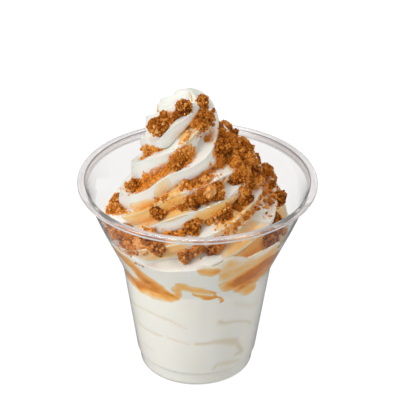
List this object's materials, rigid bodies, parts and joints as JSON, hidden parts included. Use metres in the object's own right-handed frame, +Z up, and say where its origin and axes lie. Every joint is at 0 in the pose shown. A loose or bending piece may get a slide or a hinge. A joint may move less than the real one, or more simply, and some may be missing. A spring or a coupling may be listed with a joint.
{
  "type": "biscuit sundae",
  "caption": "Soft-serve sundae swirled to a peak in a clear flared cup, with caramel sauce against the wall and broken biscuit in the folds of the swirl.",
  "frame": {"origin": "middle of the cup's flat base, on the surface that the sundae stands on", "axes": "+Z up along the cup's axis, -Y towards the front that the picture shows, +X to the right"},
  "size_m": [0.095, 0.095, 0.124],
  "materials": {
    "cup": "clear moulded polystyrene",
    "soft_serve": "smooth aerated dairy ice cream, soft sheen",
    "caramel": "glossy translucent caramel sauce",
    "biscuit": "rough baked crumb"
  },
  "bodies": {
    "root": {"cup": "cup", "soft_serve": "soft_serve", "caramel_left": "caramel", "caramel_middle": "caramel", "caramel_right": "caramel", "biscuit_01": "biscuit", "biscuit_02": "biscuit", "biscuit_03": "biscuit", "biscuit_04": "biscuit", "biscuit_05": "biscuit", "biscuit_06": "biscuit", "biscuit_07": "biscuit", "biscuit_08": "biscuit", "biscuit_09": "biscuit", "biscuit_10": "biscuit", "biscuit_11": "biscuit", "biscuit_12": "biscuit", "biscuit_13": "biscuit", "biscuit_14": "biscuit", "biscuit_15": "biscuit", "biscuit_16": "biscuit", "biscuit_17": "biscuit", "biscuit_18": "biscuit", "biscuit_19": "biscuit", "biscuit_20": "biscuit", "biscuit_21": "biscuit", "biscuit_22": "biscuit", "biscuit_23": "biscuit", "biscuit_24": "biscuit", "biscuit_25": "biscuit", "biscuit_26": "biscuit", "biscuit_27": "biscuit", "biscuit_28": "biscuit", "biscuit_29": "biscuit", "biscuit_30": "biscuit", "biscuit_31": "biscuit", "biscuit_32": "biscuit", "biscuit_33": "biscuit", "biscuit_34": "biscuit", "biscuit_35": "biscuit", "biscuit_36": "biscuit"}
  },
  "joints": []
}
